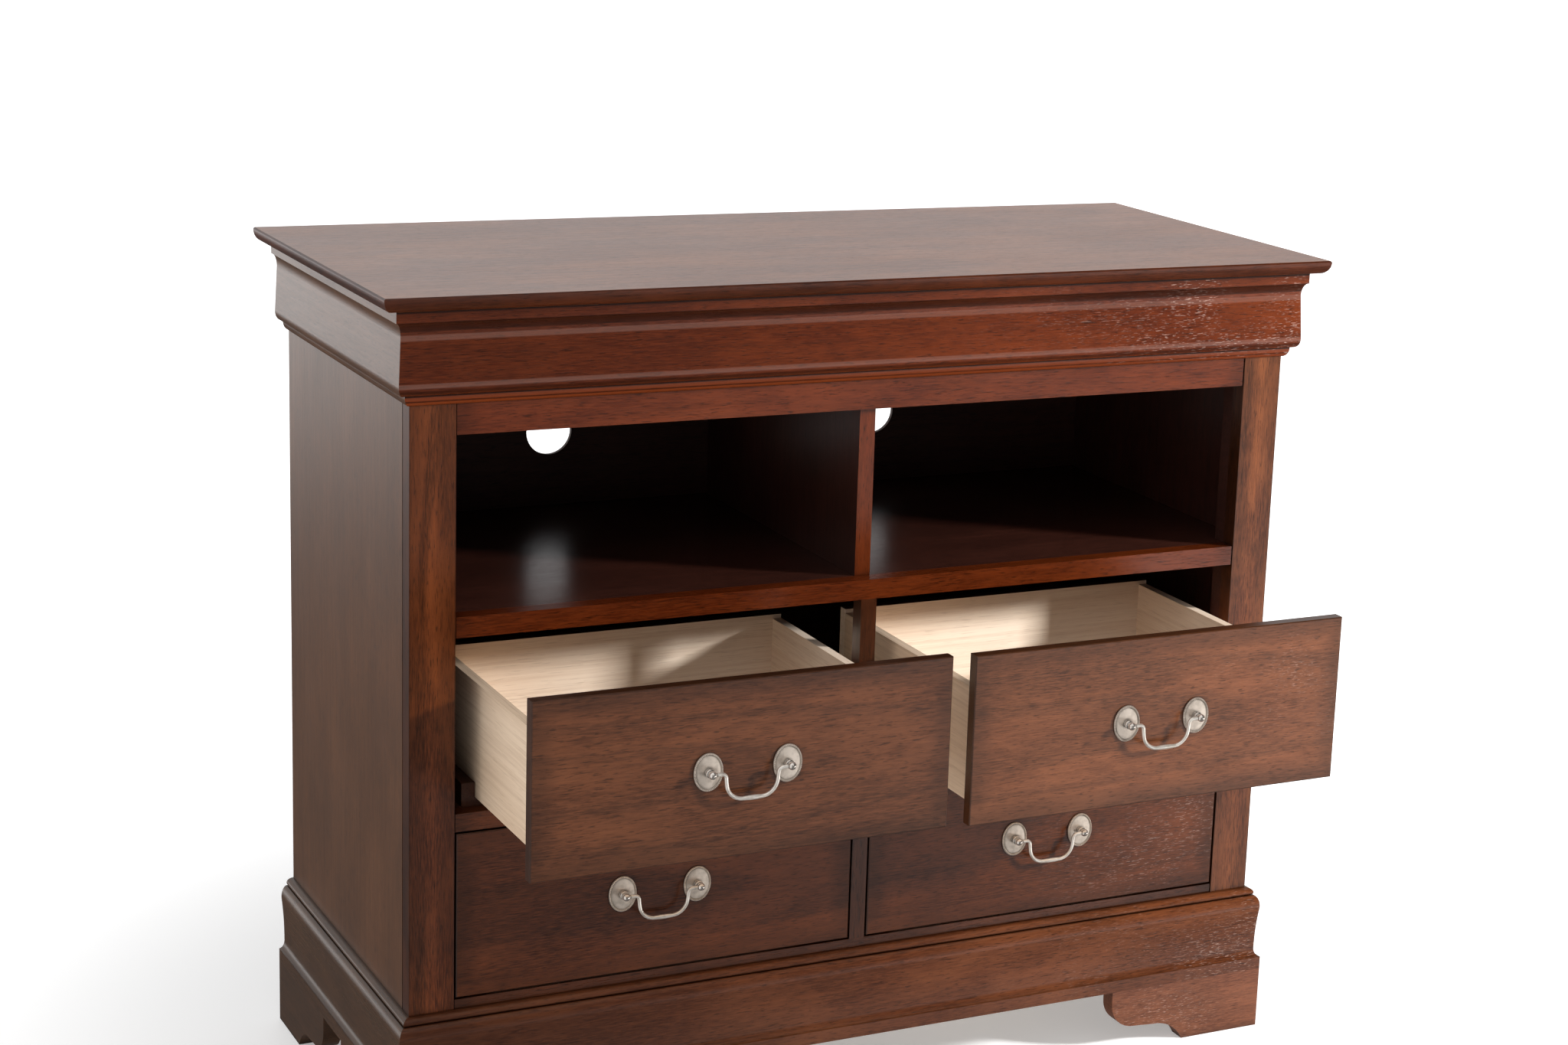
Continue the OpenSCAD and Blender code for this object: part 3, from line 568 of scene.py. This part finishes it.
def closed_faces(rings, points):
    """Faces of a solid made of rings of points: quads between the rings, and a cap at each end."""
    faces = []
    for ring in range(rings - 1):
        for point in range(points):
            after = (point + 1) % points
            faces.append((ring * points + point, ring * points + after,
                          (ring + 1) * points + after, (ring + 1) * points + point))
    last = (rings - 1) * points
    faces.append(tuple(range(points - 1, -1, -1)))
    faces.append(tuple(range(last, last + points)))
    return faces


def lathe(outline, centre):
    """Vertices and faces of a turned solid about -Y through centre; outline is (radius, height)."""
    vertices = []
    for radius, height in outline:
        for step in range(POST_STEPS):
            angle = 2 * math.pi * step / POST_STEPS
            offset = Vector((radius * math.cos(angle), -height, radius * math.sin(angle)))
            vertices.append(offset + centre)
    return vertices, closed_faces(len(outline), POST_STEPS)


def round_part(centre_radius, centre_height, radius, start, end, steps):
    """Points (radius, height) on an arc, its angles in degrees from the radius direction."""
    points = []
    for step in range(steps + 1):
        angle = math.radians(start + (end - start) * step / steps)
        points.append((centre_radius + radius * math.cos(angle),
                       centre_height + radius * math.sin(angle)))
    return points


def ellipse_angles(half_width, half_height, count):
    """Angles round an ellipse that cut its outline into count equal lengths."""
    fine = 3600
    lengths = [0.0]
    for step in range(fine):
        a, b = (2 * math.pi * s / fine for s in (step, step + 1))
        lengths.append(lengths[-1] + math.hypot(half_width * (math.cos(b) - math.cos(a)),
                                                half_height * (math.sin(b) - math.sin(a))))
    angles = []
    step = 0
    for index in range(count):
        target = lengths[-1] * index / count
        while lengths[step + 1] < target:
            step += 1
        share = (target - lengths[step]) / (lengths[step + 1] - lengths[step])
        angles.append(2 * math.pi * (step + share) / fine)
    return angles


# Rosette, from its outer edge inwards, as (distance from the edge in mm, height in mm, share of
# a bead's rise)
ROSETTE_OUTLINE = [
    (0.0, 0.0, 0.0), (0.0, 1.0, 0.0), (0.12, 1.3, 0.25), (0.40, 1.5, 0.70), (0.75, 1.6, 0.95),
    (1.05, 1.6, 1.0), (1.35, 1.6, 0.95), (1.70, 1.5, 0.70), (1.98, 1.35, 0.25), (2.15, 1.2, 0.0),
    (2.45, 1.15, 0.0), (2.75, 1.35, 0.0), (3.3, 1.45, 0.0), (5.0, 1.5, 0.0), (8.0, 1.62, 0.0),
    (11.5, 1.85, 0.0)]
BEAD_RISE = 1.0


def rosette(name, centre, material):
    """Oval plate with a rim of beads, its back on the drawer front at centre."""
    count = BEADS * BEAD_STEPS
    half_width, half_height = ROSETTE[0] / 2, ROSETTE[1] / 2
    angles = ellipse_angles(half_width, half_height, count)
    vertices = []
    for inwards, height, bead in ROSETTE_OUTLINE:
        for index, angle in enumerate(angles):
            phase = (index % BEAD_STEPS) / BEAD_STEPS * 2 - 1
            crest = math.sqrt(max(0.0, 1 - phase * phase))
            rise = (height + BEAD_RISE * bead * crest) * MM
            x = (half_width - inwards * MM) * math.cos(angle)
            z = (half_height - inwards * MM) * math.sin(angle)
            vertices.append(centre + Vector((x, -rise, z)))
    return mesh_object(name, vertices, closed_faces(len(ROSETTE_OUTLINE), count), material)


def post_outline(reach):
    """Turned post from under the rosette's face to its ball's tip, as (radius, height) in metres.

    reach is how far the ball's centre stands in front of the drawer front, in mm.
    """
    outline = [(3.9, 1.2), (3.9, 1.95)]
    outline += round_part(3.7, 2.2, 0.35, 0, 90, 3)
    outline += [(3.0, 2.75), (2.75, 3.3), (2.7, 4.0), (2.95, 4.6)]
    outline += round_part(3.3, 6.1, 1.35, -70, 70, 8)
    outline += [(2.9, 7.5), (2.55, 7.8)]
    outline += round_part(0.0, reach, 4.2, -54, 89, 16)
    return [(radius * MM, height * MM) for radius, height in outline]


def nut_outline(thickness):
    """Round nut and shank's end behind a drawer front thickness mm thick, as (radius, height)."""
    back = -thickness
    outline = [(0.4, back - 4.2), (1.6, back - 4.2), (1.95, back - 3.9), (1.95, back - 3.2),
               (3.9, back - 3.2), (4.4, back - 2.8), (4.4, back - 0.4), (4.0, back), (0.4, back)]
    return [(radius * MM, height * MM) for radius, height in outline]


def merged(name, shapes, material):
    """One object from several closed shapes, each (vertices, faces)."""
    vertices, faces = [], []
    for points, polygons in shapes:
        start = len(vertices)
        vertices += points
        faces += [tuple(start + index for index in polygon) for polygon in polygons]
    return mesh_object(name, vertices, faces, material)


def bail_path():
    """Half of the bail, from its pin to the middle: (x, z, radius) in mm, the post at x = 0.

    It runs through the pin, a thicker stub, an elbow down, a short leg and a long sweep to the bar.
    """
    drop = BAIL_DROP / MM
    middle = PULL_SPACING / MM / 2
    wire, bar = 1.9, 1.98
    turn = math.radians(84)
    elbow_start, elbow, leg = 9.5, 4.8, 7.4
    elbow_steps, leg_steps, sweep_steps, bar_steps = 8, 3, 14, 6
    path = [(1.35, 0.0, 0.4), (1.35, 0.0, 1.45), (4.65, 0.0, 1.45), (4.65, 0.0, wire),
            (4.8, 0.0, 2.08), (5.4, 0.0, 2.12), (6.6, 0.0, 2.02), (8.2, 0.0, wire)]
    for step in range(elbow_steps + 1):
        angle = turn * step / elbow_steps
        path.append((elbow_start + elbow * math.sin(angle), elbow * (math.cos(angle) - 1), wire))
    leg_x, leg_z, _ = path[-1]
    for step in range(1, leg_steps + 1):
        along = leg * step / leg_steps
        path.append((leg_x + along * math.cos(turn), leg_z - along * math.sin(turn),
                     wire - 0.12 * math.sin(math.pi * step / leg_steps)))
    sweep_x, sweep_z, _ = path[-1]
    sweep = (drop + sweep_z) / (1 - math.cos(turn))
    bar_x = sweep_x + sweep * math.sin(turn)
    for step in range(1, sweep_steps + 1):
        angle = turn * (1 - step / sweep_steps)
        path.append((bar_x - sweep * math.sin(angle), sweep - drop - sweep * math.cos(angle),
                     wire + (bar - wire) * step / sweep_steps))
    for step in range(1, bar_steps + 1):
        share = step / bar_steps
        path.append((bar_x + (middle - bar_x) * share, -drop,
                     bar + 0.5 * math.sin(share * math.pi / 2)))
    return path


def bail(name, centre, material):
    """Swinging bail as one tube swept along its path, with a thicker bar in the middle."""
    half = bail_path()
    shift = PULL_SPACING / MM / 2
    path = [(x - shift, z, r) for x, z, r in half]
    path += [(shift - x, z, r) for x, z, r in reversed(half[:-1])]
    depth = Vector((0.0, 1.0, 0.0))
    vertices = []
    for index, (x, z, radius) in enumerate(path):
        before = path[max(0, index - 1)]
        after = path[min(len(path) - 1, index + 1)]
        along = Vector((after[0] - before[0], 0.0, after[1] - before[1]))
        # At a pin's flat end two rings lie in one place
        if along.length < 0.01:
            along = Vector((1.0, 0.0, 0.0))
        across = along.normalized().cross(depth)
        for step in range(BAIL_STEPS):
            angle = 2 * math.pi * step / BAIL_STEPS
            out = across * math.cos(angle) + depth * math.sin(angle)
            vertices.append(centre + (Vector((x, 0.0, z)) + out * radius) * MM)
    return mesh_object(name, vertices, closed_faces(len(path), BAIL_STEPS), material)


def sharpen(thing, degrees=35):
    """Keeps edges that turn more than degrees crisp on a smooth mesh."""
    bpy.context.view_layer.objects.active = thing
    thing.select_set(True)
    bpy.ops.object.shade_smooth_by_angle(angle=math.radians(degrees))
    thing.select_set(False)


def add_pull(drawer, body, bail_body, finishes):
    """Rosettes, posts and bail of one drawer, in place of the plainer CAD ones."""
    pivot = Vector(joints[bail_body]["pos_m"])
    front_low, front_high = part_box(drawer + "_front")
    reach = (front_low.y - pivot.y) / MM
    thickness = (front_high.y - front_low.y) / MM
    plates, posts = [], []
    for side in (-1, 1):
        foot = Vector((pivot.x + side * PULL_SPACING / 2, front_low.y, pivot.z))
        plates.append(rosette(f"{drawer}_rosette_{'left' if side < 0 else 'right'}", foot,
                              finishes["satin"]))
        posts += [lathe(post_outline(reach), foot), lathe(nut_outline(thickness), foot)]
    for plate in plates:
        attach(plate, body)
        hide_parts(drawer + "_rosettes")
    turned = merged(drawer + "_turned_posts", posts, finishes["polished"])
    swing = bail(drawer + "_swinging_bail", pivot, finishes["buffed"])
    for thing, owner, node in ((turned, body, "_posts"), (swing, bail_body, "_bail")):
        sharpen(thing)
        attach(thing, owner)
        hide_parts(drawer + node)


# ---------------------------------------------------------------- stage, lights and camera

def add_floor():
    """A pale floor that turns into plain white away from the object."""
    corners = [Vector((x * FLOOR_REACH, y * FLOOR_REACH, 0.0))
               for x, y in ((-1, -1), (1, -1), (1, 1), (-1, 1))]
    material = bpy.data.materials.new("pale_floor")
    tree = Tree(material)
    place = tree.add("ShaderNodeTexCoord").outputs["Object"]
    cloud = tree.noise(place, scale=1.5, detail=3.0)
    colour = tree.mix(cloud, (0.84, 0.84, 0.84, 1.0), (0.90, 0.90, 0.90, 1.0))
    away = tree.add("ShaderNodeVectorMath", operation="LENGTH")
    tree.feed(away.inputs[0], place)
    glow = tree.level(away.outputs["Value"], *GLOW_FADE, GLOW_NEAR, GLOW_FAR)
    tree.finish(**{"Base Color": colour, "Roughness": 0.6, "Emission Strength": glow})
    floor = mesh_object("floor", corners, [(0, 1, 2, 3)], material)
    floor.visible_glossy = False


def add_world():
    """Studio surroundings: a pale wall behind, screens above, at the left and low at the right."""
    world = bpy.data.worlds.new("studio")
    bpy.context.scene.world = world
    tree = Tree(world)
    x, y, z = tree.split(tree.add("ShaderNodeTexCoord").outputs["Generated"])
    wall = tree.math("MULTIPLY", tree.level(z, *WALL_RISE, WALL_FOOT, WALL_GLOW),
                     tree.level(z, *WALL_DROP, 1.0, WALL_UPPER_SHARE))
    left = tree.level(x, *LEFT_FADE, LEFT_GLOW, FRONT_GLOW)
    low_height = tree.math("MULTIPLY", tree.level(z, *LOW_RIGHT_RISE),
                           tree.level(z, *LOW_RIGHT_DROP, 1.0, 0.0))
    low_right = tree.math("MULTIPLY", tree.level(x, *LOW_RIGHT_FADE, 0.0, LOW_RIGHT_GLOW), low_height)
    around = tree.mix(tree.level(y, *BACK_FADE), tree.math("ADD", left, low_right), wall)
    ceiling = tree.math("MULTIPLY", tree.level(x, *CEILING_FADE, 1.0, 0.0), CEILING_GLOW)
    level = tree.mix(tree.level(z, *CEILING_RISE), around, ceiling)
    seen = tree.add("ShaderNodeLightPath").outputs["Is Camera Ray"]
    shown = tree.mix(seen, level, (1.0, 1.0, 1.0, 1.0))
    background = tree.add("ShaderNodeBackground", {"Color": shown, "Strength": 1.0})
    tree.add("ShaderNodeOutputWorld", {"Surface": background.outputs[0]})


def add_key():
    """The one lamp: a panel that lights the chest but isn't seen in its gloss."""
    light = bpy.data.lights.new("key", "AREA")
    light.shape = "RECTANGLE"
    light.size = KEY_SIZE
    light.size_y = KEY_SIZE
    light.energy = KEY_POWER
    lamp = bpy.data.objects.new("key", light)
    lamp.location = KEY_PLACE
    aim = Vector(KEY_TARGET) - Vector(KEY_PLACE)
    lamp.rotation_euler = aim.to_track_quat("-Z", "Y").to_euler()
    lamp.visible_glossy = False
    bpy.context.scene.collection.objects.link(lamp)


def add_camera():
    """A camera at the photograph's place, from the top board's front edge and the centre line."""
    data = bpy.data.cameras.new("camera")
    data.sensor_width = CAMERA_SENSOR
    data.lens = CAMERA_LENS
    data.shift_x, data.shift_y = CAMERA_SHIFT
    data.clip_end = 100.0
    ahead = Vector((math.sin(CAMERA_YAW) * math.cos(CAMERA_PITCH),
                    math.cos(CAMERA_YAW) * math.cos(CAMERA_PITCH), -math.sin(CAMERA_PITCH)))
    right = Vector((math.cos(CAMERA_YAW), -math.sin(CAMERA_YAW), 0.0))
    down = ahead.cross(right)
    turned_right = math.cos(CAMERA_ROLL) * right + math.sin(CAMERA_ROLL) * down
    turned_down = math.cos(CAMERA_ROLL) * down - math.sin(CAMERA_ROLL) * right
    camera = bpy.data.objects.new("camera", data)
    turn = Matrix((turned_right, -turned_down, -ahead)).transposed()
    front_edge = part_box("top_panel")[0].y
    place = Vector(CAMERA_OFFSET) + Vector((0.0, front_edge, 0.0))
    camera.matrix_world = Matrix.Translation(place) @ turn.to_4x4()
    bpy.context.scene.collection.objects.link(camera)
    bpy.context.scene.camera = camera


add_camera()
add_floor()
add_world()
add_key()
bpy.context.scene.view_settings.view_transform = "Standard"

finish_carcass()
finishes = {
    "satin": nickel("nickel_satin", (srgb(228, 214, 200), srgb(204, 190, 176)),
                    rough=0.36, brushed=1.0, metallic=0.8, recess_shade=0.8),
    "buffed": nickel("nickel_buffed", (srgb(246, 238, 228), srgb(228, 217, 204)),
                     rough=0.30, brushed=0.6, metallic=0.8, recess_shade=0.5),
    "polished": nickel("nickel_polished", (srgb(240, 232, 224), srgb(220, 210, 200)),
                       rough=0.25, brushed=0.3, metallic=0.92, recess_shade=0.6),
}
for seed, (drawer, words) in enumerate(DRAWERS, start=FIRST_DRAWER_SEED):
    # Painted glints on the right-hand drawer fronts only
    flecks = RIGHT_FRONT_GLINTS if drawer.endswith("r") else None
    finish_drawer(drawer, seed, FRONT_TONES[drawer], flecks)
    add_pull(drawer, "drawer_" + words, "bail_" + words, finishes)
